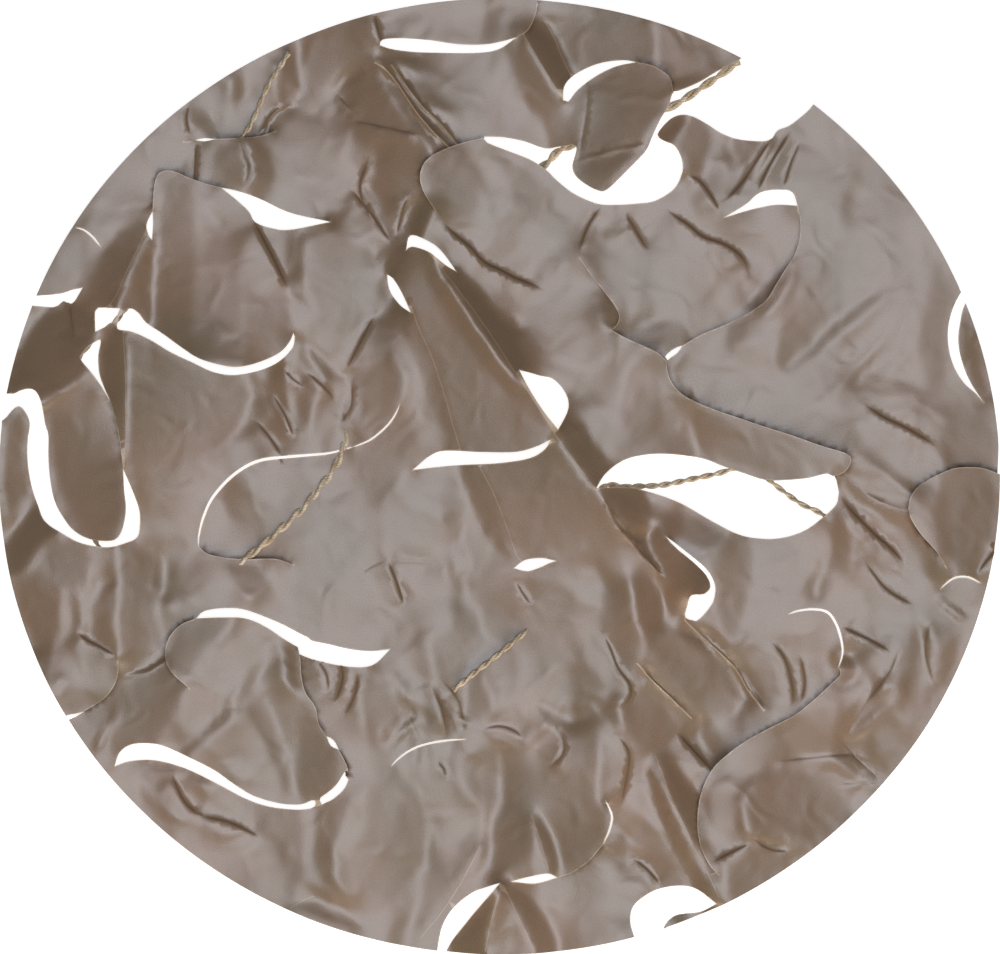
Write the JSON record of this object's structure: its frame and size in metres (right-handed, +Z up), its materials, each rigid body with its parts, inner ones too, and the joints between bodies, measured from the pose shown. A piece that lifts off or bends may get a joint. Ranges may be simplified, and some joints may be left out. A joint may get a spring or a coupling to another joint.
{
  "type": "camouflage net",
  "caption": "Round cut length of camouflage netting: a taupe incised cloth with open scalloped slits, lying loosely folded over knotted twisted cords.",
  "frame": {"origin": "centre of the panel's outline, on the surface it lies on", "axes": "+Z up from the surface, +X along the panel's longer side, +Y along its shorter side"},
  "size_m": [0.3405, 0.3251, 0.0148],
  "materials": {
    "cloth": "thin taupe taffeta with a soft satin sheen",
    "cord": "matt twisted straw-coloured cord"
  },
  "bodies": {
    "root": {"cloth_panel": "cloth", "cord_netting": "cord"}
  },
  "joints": []
}
